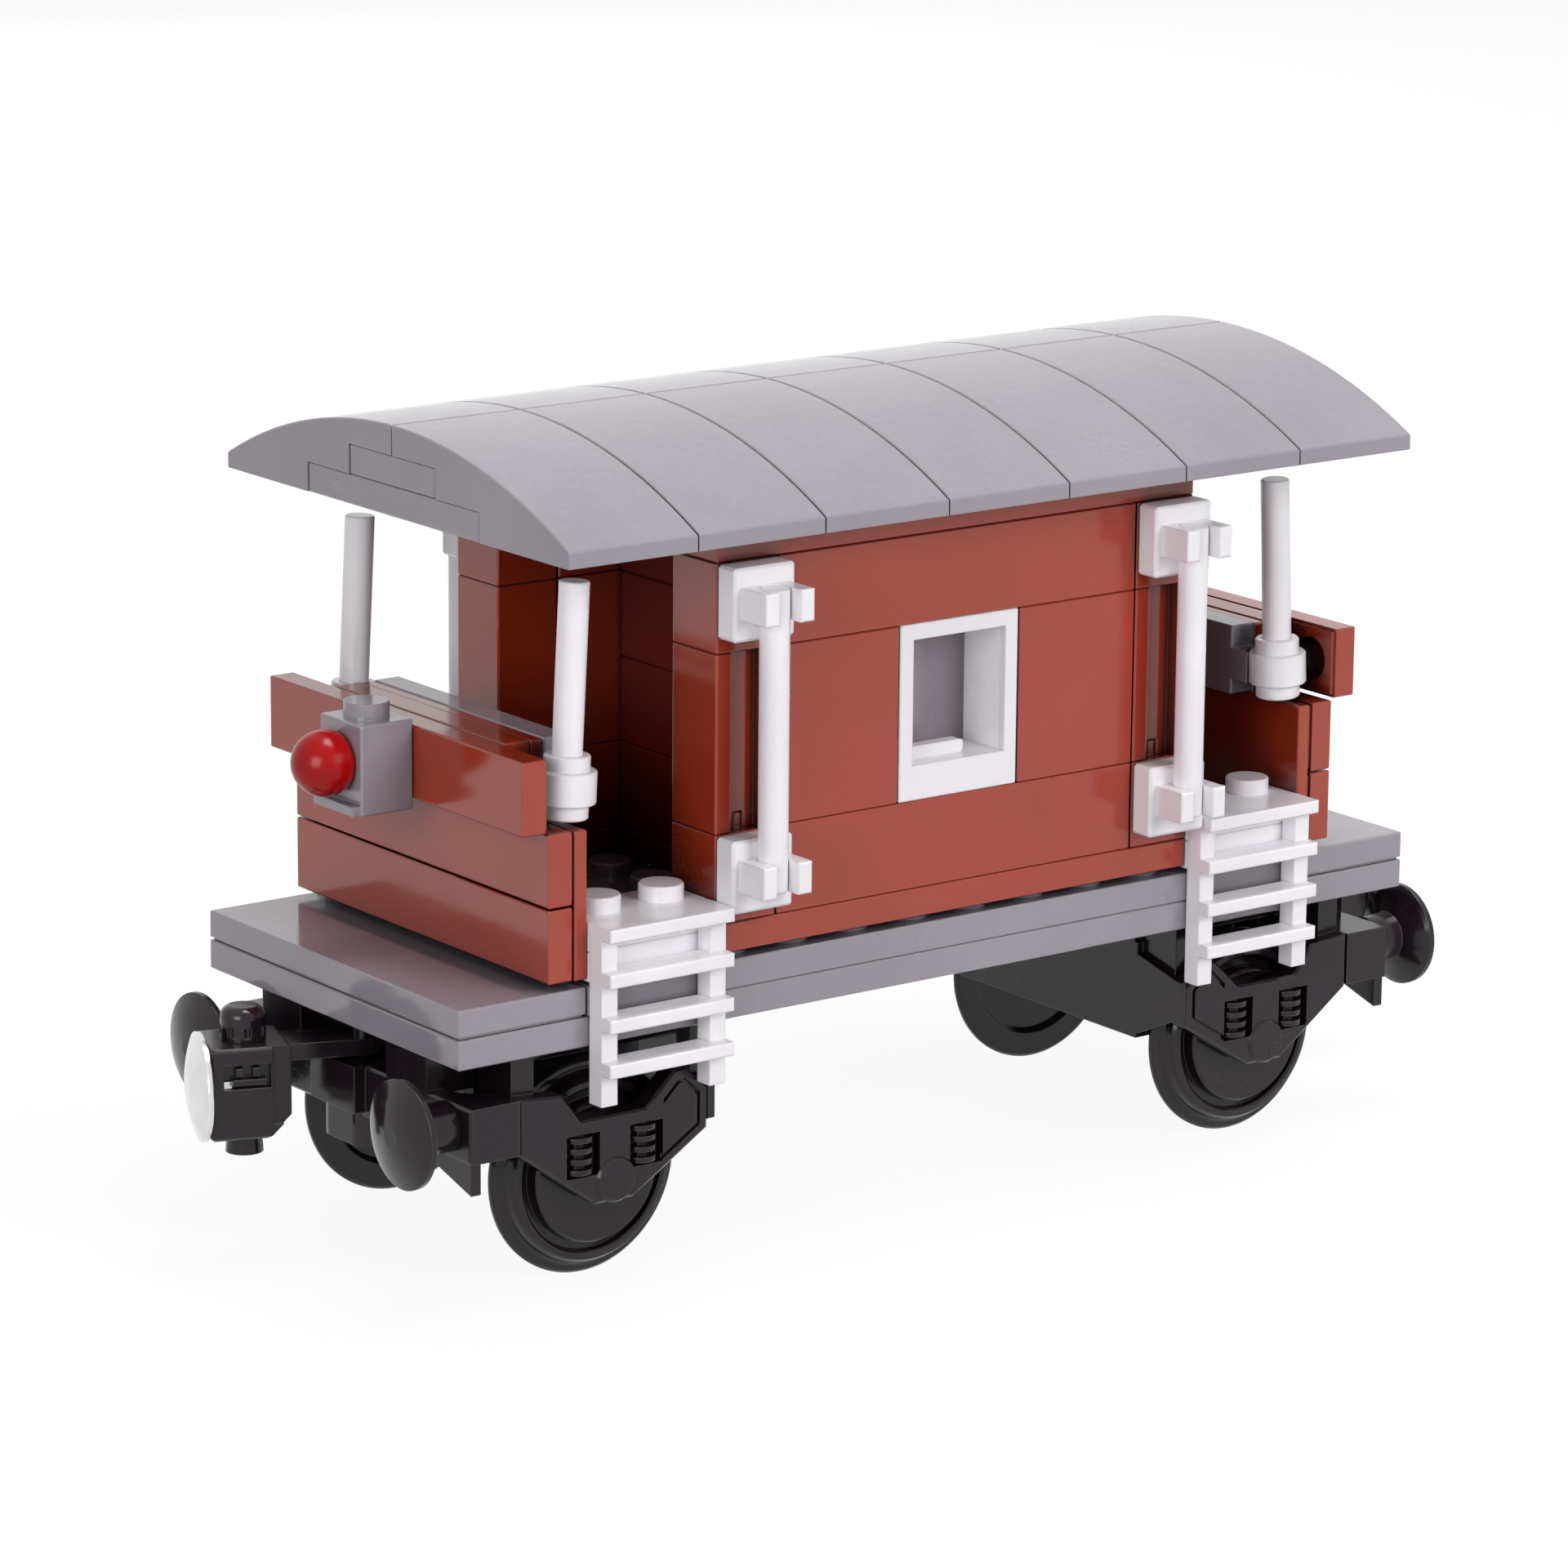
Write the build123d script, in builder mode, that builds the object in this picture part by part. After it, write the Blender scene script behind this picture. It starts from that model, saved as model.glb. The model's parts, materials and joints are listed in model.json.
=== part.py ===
from build123d import *
import os

# A four-wheeled toy caboose in a stud-and-tube building-brick system.
# Millimetres. Origin: centre of the wagon on the plane of the rail tops; +X towards the plain end, so the
# lamp end is at -X; +Z up. Each piece is drawn with its own low corner or its own axis at the origin and
# then put in its place.

# Building system
PITCH = 8.0  # stud spacing
PLATE = 3.2  # one plate layer
BRICK = 3 * PLATE
HALF_PLATE = PLATE / 2
STUD_R = 2.4
STUD_H = 1.7
BAR_R = 1.6
GAP = 0.1  # each vertical face stands back from its module line
LAYER_GAP = 0.02  # each top face stands below its layer line
SOCKET_R = STUD_R + 0.05
SOCKET_H = STUD_H + 0.08
TUBE_R = 3.2
EDGE = 0.15  # moulded edge break
GROOVE = 0.35  # step under the rim of a tile

# Wagon
LENGTH = 16 * PITCH
WIDTH = 6 * PITCH
X0 = -LENGTH / 2  # lamp end of the deck
Y0 = -WIDTH / 2
WHEEL_R = 11.6  # over the flange
DECK_Z = 26.5  # underside of the deck
DECK_TOP = DECK_Z + 2 * PLATE
FLOAT = 0.8  # the house stands on its stud tops, this far above the deck

# House
HOUSE_X0 = -4 * PITCH
HOUSE_N = 8
HOUSE_Z = DECK_TOP + FLOAT
LOW_ROW_Z = HOUSE_Z + PLATE
WINDOW_Z = LOW_ROW_Z + BRICK
HIGH_ROW_Z = WINDOW_Z + 2 * BRICK
TOP_PLATE_Z = HIGH_ROW_Z + BRICK
SIDE_STUD_Z = 5.6  # height of a side stud above the foot of its brick

# Roof
ROOF_FLOAT = 0.4
ROOF_Z = TOP_PLATE_Z + PLATE + ROOF_FLOAT
ROOF_N = 14
ROOF_X0 = -ROOF_N * PITCH / 2
ROOF_HALF = 4 * PITCH
ROOF_R = 69.0
ROOF_RISE = BRICK

# Verandas
PANEL_X = X0 + 1.8 * PITCH  # outer face of the upright brackets at the lamp end
PANEL_Z = HOUSE_Z
RAIL_TILE_X = PANEL_X - 2 * PLATE
POST_LEAN = 2.9
POST_L = 3 * PITCH
HANDRAIL_L = 4 * PITCH

# Running gear
AXLE_X = 44.4
AXLE_R = 1.5
AXLE_TIP_R = 1.0
RUNNING_GAP = 0.06
FRAME_Y = WIDTH / 2 - 0.2
FRAME_T = 2.4
COUPLER_PIVOT_X = 59.8
COUPLER_SWING = 20.0  # the lamp-end coupler rests turned by this angle
COUPLER_REACH = 12.9

os.makedirs("parts", exist_ok=True)


def save(builder, label):
    """Label a finished sub-part and write its STEP file."""
    builder.part.label = label
    export_step(builder.part, f"parts/{label}.step")


def put(piece, x, y, z):
    """The piece moved so that its own origin is at (x, y, z)."""
    return piece.moved(Location((x, y, z)))


def upright(piece, x, y, top, towards=-1):
    """The piece stood on edge: its top faces along X, its first side runs along Y."""
    x_dir = (0, 1, 0) if towards < 0 else (0, -1, 0)
    y_start = y if towards < 0 else -y
    return piece.moved(Plane(origin=(x, y_start, top), x_dir=x_dir, z_dir=(towards, 0, 0)).location)


def both_ends(pieces):
    """The pieces and their mirror images at the other end of the wagon."""
    return pieces + [piece.mirror(Plane.YZ) for piece in pieces]


def both_sides(pieces):
    """The pieces and their mirror images on the other side of the wagon."""
    return pieces + [piece.mirror(Plane.XZ) for piece in pieces]


def module(nx, ny, height, studs=True, socket=SOCKET_H, tile=False):
    """A moulded block of nx by ny modules, low corner at the origin, studs above and a socket under each."""
    length, width = nx * PITCH, ny * PITCH
    with BuildPart() as block:
        with BuildSketch():
            with Locations((length / 2, width / 2)):
                Rectangle(length - 2 * GAP, width - 2 * GAP)
        extrude(amount=height - LAYER_GAP)
        chamfer(block.edges(), EDGE)
        if tile:
            with BuildSketch():
                with Locations((length / 2, width / 2)):
                    Rectangle(length, width)
                    Rectangle(length - 2 * GAP - 2 * GROOVE, width - 2 * GAP - 2 * GROOVE, mode=Mode.SUBTRACT)
            extrude(amount=GROOVE, mode=Mode.SUBTRACT)
        if studs:
            with BuildSketch(Plane.XY.offset(height - LAYER_GAP)):
                with Locations((length / 2, width / 2)):
                    with GridLocations(PITCH, PITCH, nx, ny):
                        Circle(STUD_R)
            extrude(amount=STUD_H)
            chamfer(block.edges().filter_by(GeomType.CIRCLE).group_by(Axis.Z)[-1], EDGE)
        if socket:
            with BuildSketch():
                with Locations((length / 2, width / 2)):
                    with GridLocations(PITCH, PITCH, nx, ny):
                        Circle(SOCKET_R)
            extrude(amount=socket, mode=Mode.SUBTRACT)
    return block.part


def with_side_stud(block, x, z):
    """The block with one more stud on its outer (-Y) face, centred at (x, z)."""
    with BuildPart() as studded:
        add(block)
        with BuildSketch(Plane.XZ.offset(-GAP)):
            with Locations((x, z)):
                Circle(STUD_R)
        extrude(amount=STUD_H)
    return studded.part


# ------------------------------------------------------------------------------------------------- deck

DECK_SKIN = 1.0
DECK_WALL = 1.5
deck_nx, deck_ny = 16, 6

with BuildPart() as deck_base_plate:
    with BuildSketch(Plane.XY.offset(DECK_Z)):
        Rectangle(LENGTH - 2 * GAP, WIDTH - 2 * GAP)
    extrude(amount=PLATE - LAYER_GAP)
    chamfer(deck_base_plate.edges(), EDGE)
    with BuildSketch(Plane.XY.offset(DECK_Z)):
        Rectangle(LENGTH - 2 * DECK_WALL, WIDTH - 2 * DECK_WALL)
    extrude(amount=PLATE - DECK_SKIN, mode=Mode.SUBTRACT)
    with BuildSketch(Plane.XY.offset(DECK_Z)):
        with GridLocations(PITCH, PITCH, deck_nx - 1, deck_ny - 1):
            Circle(TUBE_R)
            Circle(STUD_R, mode=Mode.SUBTRACT)
    extrude(amount=PLATE - DECK_SKIN)
    with BuildSketch(Plane.XY.offset(DECK_Z + PLATE - LAYER_GAP)):
        with GridLocations(PITCH, PITCH, deck_nx, deck_ny):
            Circle(STUD_R)
    extrude(amount=STUD_H)
save(deck_base_plate, "deck_base_plate")

studded_plate = module(deck_nx - 4, deck_ny, PLATE)
with BuildPart() as deck_top_plate:
    add(put(studded_plate, X0 + 2 * PITCH, Y0, DECK_Z + PLATE))
save(deck_top_plate, "deck_top_plate")

cross_tile = module(2, deck_ny, PLATE, studs=False, tile=True)
with BuildPart() as deck_end_tiles:
    add(both_ends([put(cross_tile, X0, Y0, DECK_Z + PLATE)]))
save(deck_end_tiles, "deck_end_tiles")

# ------------------------------------------------------------------------------------------------ house

sill = put(module(HOUSE_N, 1, PLATE, socket=STUD_H - FLOAT), HOUSE_X0, Y0, HOUSE_Z)
with BuildPart() as house_sill_plates:
    add(both_sides([sill]))
save(house_sill_plates, "house_sill_plates")

corner_brick = with_side_stud(module(1, 1, BRICK), PITCH / 2, SIDE_STUD_Z)
corner_bricks = [put(corner_brick, HOUSE_X0, Y0, z) for z in (LOW_ROW_Z, HIGH_ROW_Z)]
with BuildPart() as wall_corner_bricks:
    add(both_sides(both_ends(corner_bricks)))
save(wall_corner_bricks, "wall_corner_bricks")

long_brick = module(HOUSE_N - 2, 1, BRICK)
long_bricks = [put(long_brick, HOUSE_X0 + PITCH, Y0, z) for z in (LOW_ROW_Z, HIGH_ROW_Z)]
with BuildPart() as wall_long_bricks:
    add(both_sides(long_bricks))
save(wall_long_bricks, "wall_long_bricks")

tall_brick = put(module(2, 1, 2 * BRICK), HOUSE_X0 + PITCH, Y0, WINDOW_Z)
with BuildPart() as wall_tall_bricks:
    add(both_sides(both_ends([tall_brick])))
save(wall_tall_bricks, "wall_tall_bricks")

# A corner column is a two-brick-tall block with a full-height groove in its outer face.
COLUMN_GROOVE_W = 4.0
COLUMN_GROOVE_D = 1.6
column_blank = module(1, 1, 2 * BRICK)
with BuildPart() as grooved_column:
    add(column_blank)
    with BuildSketch():
        with Locations((PITCH / 2, 0)):
            Rectangle(COLUMN_GROOVE_W, 2 * COLUMN_GROOVE_D)
    extrude(amount=2 * BRICK, mode=Mode.SUBTRACT)
column = put(grooved_column.part, HOUSE_X0, Y0, WINDOW_Z)
with BuildPart() as wall_corner_columns:
    add(both_sides(both_ends([column])))
save(wall_corner_columns, "wall_corner_columns")

# The window frame is two modules wide and two bricks high. The pane snaps into a rebate in its inner
# face, a low
# rail lies on the sill, and a fine groove runs down both sides just behind the outer face.
FRAME_SIDE = 1.7
FRAME_FOOT = 3.8
FRAME_HEAD = 1.7
PANE_T = 0.7
PANE_GAP = 0.04
PANE_EDGE = 1.0
REBATE = 0.5
RAIL_L, RAIL_H, RAIL_T = 8.7, 1.4, 1.5
RAIL_Y = 2.4  # from the outer face to the rail
SLIT_Y, SLIT_W, SLIT_DEPTH = 0.5, 0.5, 0.4
opening_w = 2 * PITCH - 2 * GAP - 2 * FRAME_SIDE
opening_h = 2 * BRICK - LAYER_GAP - FRAME_FOOT - FRAME_HEAD
opening_z = FRAME_FOOT + opening_h / 2
opening_x0 = PITCH - opening_w / 2
pane_y = PITCH - GAP - PANE_T  # the pane's outer face
window_blank = module(2, 1, 2 * BRICK)
with BuildPart() as window_frame:
    add(window_blank)
    with BuildSketch(Plane.XZ):
        with Locations((PITCH, opening_z)):
            Rectangle(opening_w, opening_h)
    extrude(amount=-PITCH, mode=Mode.SUBTRACT)
    with BuildSketch(Plane.XZ.offset(-pane_y)):
        with Locations((PITCH, opening_z)):
            Rectangle(opening_w + 2 * REBATE, opening_h + 2 * REBATE)
    extrude(amount=-PITCH, mode=Mode.SUBTRACT)
    with BuildSketch(Plane.XZ.offset(-GAP - SLIT_Y)):
        with Locations((PITCH, opening_z)):
            Rectangle(opening_w + 2 * SLIT_DEPTH, opening_h)
    extrude(amount=-SLIT_W, mode=Mode.SUBTRACT)
    with BuildSketch(Plane.XZ.offset(-GAP - RAIL_Y)):
        with Locations((opening_x0 + RAIL_L / 2, FRAME_FOOT + RAIL_H / 2)):
            RectangleRounded(RAIL_L, RAIL_H, RAIL_H / 3)
        with Locations((opening_x0 + RAIL_H / 2, FRAME_FOOT + RAIL_H / 2)):
            Rectangle(RAIL_H, RAIL_H)
        with Locations((opening_x0 + RAIL_L / 4, FRAME_FOOT + RAIL_H / 4)):
            Rectangle(RAIL_L / 2, RAIL_H / 2)
    extrude(amount=-RAIL_T)
frame_piece = put(window_frame.part, -PITCH, Y0, WINDOW_Z)
with BuildPart() as window_frames:
    add(both_sides([frame_piece]))
save(window_frames, "window_frames")

# The smoked pane has a raised edge on its inner face and a small round nub in a corner of its outer face.
NUB_R = 1.0
NUB_X, NUB_DROP = 5.6, 3.2  # from the opening's side and head
with BuildPart() as pane:
    with BuildSketch(Plane.XZ.offset(-pane_y)):
        with Locations((PITCH, opening_z)):
            Rectangle(opening_w + 2 * (REBATE - PANE_GAP), opening_h + 2 * (REBATE - PANE_GAP))
    extrude(amount=-PANE_T)
    with BuildSketch(Plane.XZ.offset(-pane_y - PANE_T)):
        with Locations((PITCH, opening_z)):
            Rectangle(opening_w - 2 * PANE_EDGE, opening_h - 2 * PANE_EDGE)
    extrude(amount=PANE_T / 3, mode=Mode.SUBTRACT)
    with BuildSketch(Plane.XZ.offset(-pane_y)):
        with Locations((opening_x0 + NUB_X, opening_z + opening_h / 2 - NUB_DROP)):
            Circle(NUB_R)
    extrude(amount=NUB_R / 3)
pane_piece = put(pane.part, -PITCH, Y0, WINDOW_Z)
with BuildPart() as window_panes:
    add(both_sides([pane_piece]))
save(window_panes, "window_panes")

top_plate = put(module(HOUSE_N, 1, PLATE), HOUSE_X0, Y0, TOP_PLATE_Z)
with BuildPart() as house_top_plates:
    add(both_sides([top_plate]))
save(house_top_plates, "house_top_plates")

# A bulkhead one module thick closes the house two modules in from each doorway.
BULKHEAD_N = 4
bulkhead_x, bulkhead_y = HOUSE_X0 + 2 * PITCH, -2 * PITCH
bulkhead_brick = module(1, BULKHEAD_N, BRICK)
brick_levels = [LOW_ROW_Z + n * BRICK for n in range(4)]
bulkhead_stack = [put(bulkhead_brick, bulkhead_x, bulkhead_y, z) for z in brick_levels]
with BuildPart() as bulkhead_bricks:
    add(both_ends(bulkhead_stack))
save(bulkhead_bricks, "bulkhead_bricks")

bulkhead_sill = put(module(1, BULKHEAD_N, PLATE, socket=STUD_H - FLOAT), bulkhead_x, bulkhead_y, HOUSE_Z)
bulkhead_cap = put(module(1, BULKHEAD_N, PLATE), bulkhead_x, bulkhead_y, TOP_PLATE_Z)
with BuildPart() as bulkhead_plates:
    add(both_ends([bulkhead_sill, bulkhead_cap]))
save(bulkhead_plates, "bulkhead_plates")

# ------------------------------------------------------------------------------------------------- roof

# Two plates step up along the ridge. The lower one stands on the studs of the bulkhead caps.
roof_plate = module(ROOF_N, 4, PLATE, socket=STUD_H - ROOF_FLOAT)
with BuildPart() as roof_lower_plate:
    add(put(roof_plate, ROOF_X0, -2 * PITCH, ROOF_Z))
save(roof_lower_plate, "roof_lower_plate")

ridge_plate = module(ROOF_N, 2, PLATE)
with BuildPart() as roof_ridge_plate:
    add(put(ridge_plate, ROOF_X0, -PITCH, ROOF_Z + PLATE))
save(roof_ridge_plate, "roof_ridge_plate")

# A roof slope is two modules wide and four long: an arc above, and three steps below with a socket row
# each.
ridge_z = ROOF_RISE - LAYER_GAP


def arc_height(y):
    """Height of the roof curve above the roof's foot at the distance y from the ridge."""
    return ridge_z - ROOF_R + (ROOF_R**2 - y**2) ** 0.5


eaves_y = ROOF_HALF - GAP
with BuildPart() as slope:
    with BuildSketch(Plane.YZ):
        with BuildLine():
            Polyline(
                (-eaves_y, arc_height(eaves_y)),
                (-eaves_y, 0),
                (-2 * PITCH - GAP, 0),
                (-2 * PITCH - GAP, PLATE),
                (-PITCH - GAP, PLATE),
                (-PITCH - GAP, 2 * PLATE),
                (-GAP, 2 * PLATE),
                (-GAP, arc_height(GAP)),
            )
            mid_y = eaves_y / 2
            ThreePointArc((-GAP, arc_height(GAP)), (-mid_y, arc_height(mid_y)), (-eaves_y, arc_height(eaves_y)))
        make_face()
    extrude(amount=PITCH - GAP, both=True)
    chamfer(slope.faces().filter_by(GeomType.CYLINDER).edges(), EDGE)
    for rows, level, depth in ((2, 0, STUD_H - ROOF_FLOAT), (1, 1, SOCKET_H), (1, 2, SOCKET_H)):
        first_y = (-3.5, -1.5, -0.5)[level] * PITCH
        with BuildSketch(Plane.XY.offset(level * PLATE)):
            for row in range(rows):
                with Locations((-PITCH / 2, first_y + row * PITCH), (PITCH / 2, first_y + row * PITCH)):
                    Circle(SOCKET_R)
        extrude(amount=depth, mode=Mode.SUBTRACT)
near_slopes = [put(slope.part, ROOF_X0 + (2 * n + 1) * PITCH, 0, ROOF_Z) for n in range(ROOF_N // 2)]
far_slopes = [piece.mirror(Plane.XZ) for piece in near_slopes]
with BuildPart() as roof_slopes_near:
    add(near_slopes)
save(roof_slopes_near, "roof_slopes_near")
with BuildPart() as roof_slopes_far:
    add(far_slopes)
save(roof_slopes_far, "roof_slopes_far")

# -------------------------------------------------------------------------------------------- end panels

# An upright half-plate, wide for two rows of tiles and narrower above, with a foot over a row of deck
# studs.
FOOT_N = 4
NARROW_W = FOOT_N * PITCH - 2 * GAP
BRACKET_TOP = PANEL_Z + 3 * PITCH - 0.2
stud_rows = [(PANEL_Z + 0.5 * PITCH, deck_ny), (PANEL_Z + 1.5 * PITCH, deck_ny), (PANEL_Z + 2.5 * PITCH, FOOT_N)]
with BuildPart() as bracket:
    for z_low, z_high, width in (
        (PANEL_Z, PANEL_Z + 2 * PITCH - 0.2, WIDTH - 2 * GAP),
        (PANEL_Z + PITCH, BRACKET_TOP, NARROW_W),
    ):
        with BuildSketch(Plane.XY.offset(z_low)):
            with Locations((PANEL_X + HALF_PLATE / 2, 0)):
                Rectangle(HALF_PLATE, width)
        extrude(amount=z_high - z_low)
    chamfer(bracket.edges(), EDGE)
    foot_x = PANEL_X + HALF_PLATE + PITCH / 2
    with BuildSketch(Plane.XY.offset(DECK_TOP)):
        with Locations((foot_x - HALF_PLATE / 4, 0)):
            Rectangle(PITCH + HALF_PLATE / 2, NARROW_W)
        with Locations((foot_x, 0)):
            with GridLocations(PITCH, PITCH, 1, FOOT_N):
                Circle(SOCKET_R, mode=Mode.SUBTRACT)
    extrude(amount=HALF_PLATE)
    for stud_z, count in stud_rows:
        with BuildSketch(Plane.YZ.offset(PANEL_X)):
            with Locations((0, stud_z)):
                with GridLocations(PITCH, PITCH, count, 1):
                    Circle(STUD_R)
        extrude(amount=-STUD_H)
    with BuildSketch(Plane.YZ.offset(PANEL_X + HALF_PLATE)):
        with Locations((0, stud_rows[-1][0])):
            with GridLocations(PITCH, PITCH, FOOT_N, 1):
                Circle(STUD_R)
    extrude(amount=STUD_H)
with BuildPart() as end_panel_brackets:
    add(both_ends([bracket.part]))
save(end_panel_brackets, "end_panel_brackets")

panel_tile = module(deck_ny, 1, PLATE, studs=False, tile=True)
lower_tiles = [upright(panel_tile, PANEL_X - LAYER_GAP, Y0, PANEL_Z + n * PITCH) for n in (1, 2)]
with BuildPart() as end_panel_tiles:
    add(both_ends(lower_tiles))
save(end_panel_tiles, "end_panel_tiles")

panel_plate = module(FOOT_N, 1, PLATE)
with BuildPart() as end_rail_plates:
    add(both_ends([upright(panel_plate, PANEL_X - LAYER_GAP, -FOOT_N / 2 * PITCH, PANEL_Z + 3 * PITCH)]))
save(end_rail_plates, "end_rail_plates")

# The upper tile of the lamp end carries one stud in its middle for the lamp.
rail_tile = upright(panel_tile, PANEL_X - PLATE - LAYER_GAP, Y0, PANEL_Z + 3 * PITCH)
LAMP_Z = PANEL_Z + 15.0  # foot of the lamp brick
LAMP_BACK = RAIL_TILE_X - LAYER_GAP
lamp_mid_z = LAMP_Z + BRICK / 2
with BuildPart() as lamp_rail_tile:
    add(rail_tile)
    with BuildSketch(Plane.YZ.offset(RAIL_TILE_X)):
        with Locations((0, lamp_mid_z)):
            Circle(STUD_R)
    extrude(amount=-STUD_H)
with BuildPart() as end_rail_tiles:
    add([lamp_rail_tile.part, rail_tile.mirror(Plane.YZ)])
save(end_rail_tiles, "end_rail_tiles")

# ------------------------------------------------------------------------------------------ veranda posts

# A plain plate on the inner face of each bracket has an arm at both ends. Each arm's peg holds a post
# sleeve,
# which leans a little towards the house about that peg.
CLIP_X = PANEL_X + HALF_PLATE
POST_Y = WIDTH / 2 - PITCH / 2
PIVOT_Z = PANEL_Z + 19.65
BAND_R, BAND_H = 3.2, 3.5
SLEEVE_R, SLEEVE_H = 2.45, 6.7
SLEEVE_BORE = BAR_R + 0.05
PEG_R, PEG_L = 0.8, 2.0
ARM_W = PLATE - LAYER_GAP
NUB_W = 0.9
clip_blank = upright(
    module(FOOT_N, 1, PLATE, studs=False), CLIP_X + LAYER_GAP, -FOOT_N / 2 * PITCH, PANEL_Z + 3 * PITCH, towards=1
)
arm_start = FOOT_N / 2 * PITCH - PITCH / 8
arm_end = arm_start + 3.6
nub_start = FOOT_N / 2 * PITCH
with BuildPart() as post_clip_plate:
    add(clip_blank)
    for side in (-1, 1):
        with BuildSketch(Plane.XY.offset(PIVOT_Z - BAND_H / 2)):
            with Locations((CLIP_X + LAYER_GAP + ARM_W / 2, side * (arm_start + arm_end) / 2)):
                Rectangle(ARM_W, arm_end - arm_start)
            with Locations((CLIP_X, side * (nub_start + arm_end) / 2)):
                Rectangle(2 * NUB_W, arm_end - nub_start)
            with Locations((CLIP_X, side * POST_Y)):
                Circle(BAND_R + 0.25, mode=Mode.SUBTRACT)
        extrude(amount=BAND_H)
        with Locations((CLIP_X, side * (nub_start + PEG_L / 2), PIVOT_Z)):
            Cylinder(PEG_R, PEG_L, rotation=(90, 0, 0))
with BuildPart() as post_clip_plates:
    add(both_ends([post_clip_plate.part]))
save(post_clip_plates, "post_clip_plates")

# The sleeve is a tube with a wider band; its axis is the local Z axis and the peg hole is on the side of
# the arm.
with BuildPart() as sleeve:
    Cylinder(SLEEVE_R, SLEEVE_H)
    chamfer(sleeve.edges(), EDGE)
    Cylinder(BAND_R, BAND_H)
    circles = sleeve.edges().filter_by(GeomType.CIRCLE)
    band_edges = circles.filter_by(lambda edge: abs(edge.radius - BAND_R) < 0.01)
    chamfer(band_edges, EDGE)
    Cylinder(SLEEVE_BORE, SLEEVE_H, mode=Mode.SUBTRACT)
    with Locations((0, BAND_R - PEG_L / 2 + 0.7, 0)):
        Cylinder(PEG_R + 0.05, PEG_L, rotation=(90, 0, 0), mode=Mode.SUBTRACT)
with BuildPart() as post:
    with Locations((0, 0, POST_L / 2 - SLEEVE_H / 2 + 0.7)):
        Cylinder(BAR_R, POST_L)
    chamfer(post.edges().filter_by(GeomType.CIRCLE), EDGE)


def at_post(piece):
    """The piece at all four posts, leaning towards the house."""
    placed = piece.moved(Location((CLIP_X, -POST_Y, PIVOT_Z), (0, POST_LEAN, 0)))
    return both_sides(both_ends([placed]))


sleeves = at_post(sleeve.part)
posts = at_post(post.part)
with BuildPart() as post_sleeves:
    add(sleeves)
save(post_sleeves, "post_sleeves")
with BuildPart() as veranda_posts:
    add(posts)
save(veranda_posts, "veranda_posts")

# --------------------------------------------------------------------------------------------- handrails

# A one-module tile stands on each side stud. Its open clip grips a bar.
CLIP_TILE_T = 3.1
CLIP_W, CLIP_D, CLIP_H = 6.2, 4.4, 3.4
CLIP_MOUTH = 2.7
CLIP_RAISE = 0.2
tile_back = GAP - LAYER_GAP
tile_front = tile_back - CLIP_TILE_T
bar_y = tile_front - BAR_R - 0.05
with BuildPart() as clip_tile:
    with BuildSketch(Plane.XZ.offset(-tile_back)):
        Rectangle(PITCH - 2 * GAP, PITCH - 2 * GAP)
    extrude(amount=CLIP_TILE_T)
    chamfer(clip_tile.edges(), 2 * EDGE)
    with BuildSketch(Plane.XZ.offset(-tile_back)):
        Circle(SOCKET_R)
    extrude(amount=SOCKET_H, mode=Mode.SUBTRACT)
    with BuildSketch(Plane.XY.offset(CLIP_RAISE - CLIP_H / 2)):
        with Locations((0, tile_front - CLIP_D / 2 + 0.2)):
            Rectangle(CLIP_W, CLIP_D + 0.4)
        with Locations((0, bar_y)):
            Circle(BAR_R + 0.05, mode=Mode.SUBTRACT)
        with Locations((0, bar_y - CLIP_D / 2)):
            Rectangle(CLIP_MOUTH, CLIP_D, mode=Mode.SUBTRACT)
    extrude(amount=CLIP_H)
    chamfer(clip_tile.faces().sort_by(Axis.Y)[:2].edges(), EDGE)
side_stud_x = HOUSE_X0 + PITCH / 2
clip_levels = [row + SIDE_STUD_Z for row in (LOW_ROW_Z, HIGH_ROW_Z)]
clip_tiles = [put(clip_tile.part, side_stud_x, Y0, z) for z in clip_levels]
with BuildPart() as handrail_clip_tiles:
    add(both_sides(both_ends(clip_tiles)))
save(handrail_clip_tiles, "handrail_clip_tiles")

rail_mid_z = sum(clip_levels) / 2 + CLIP_RAISE
with BuildPart() as rail:
    Cylinder(BAR_R, HANDRAIL_L)
    chamfer(rail.edges().filter_by(GeomType.CIRCLE), EDGE)
rail_piece = put(rail.part, side_stud_x, Y0 + bar_y, rail_mid_z)
with BuildPart() as handrails:
    add(both_sides(both_ends([rail_piece])))
save(handrails, "handrails")

# ----------------------------------------------------------------------------------------------- ladders

LADDER_FLOAT = 0.4
LADDER_X = X0 + 2 * PITCH
LADDER_Z = DECK_TOP + LADDER_FLOAT + PLATE
spacer = put(module(2, 1, PLATE, socket=STUD_H - LADDER_FLOAT), LADDER_X, Y0, DECK_TOP + LADDER_FLOAT)
with BuildPart() as ladder_spacer_plates:
    add(both_sides(both_ends([spacer])))
save(ladder_spacer_plates, "ladder_spacer_plates")

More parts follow.
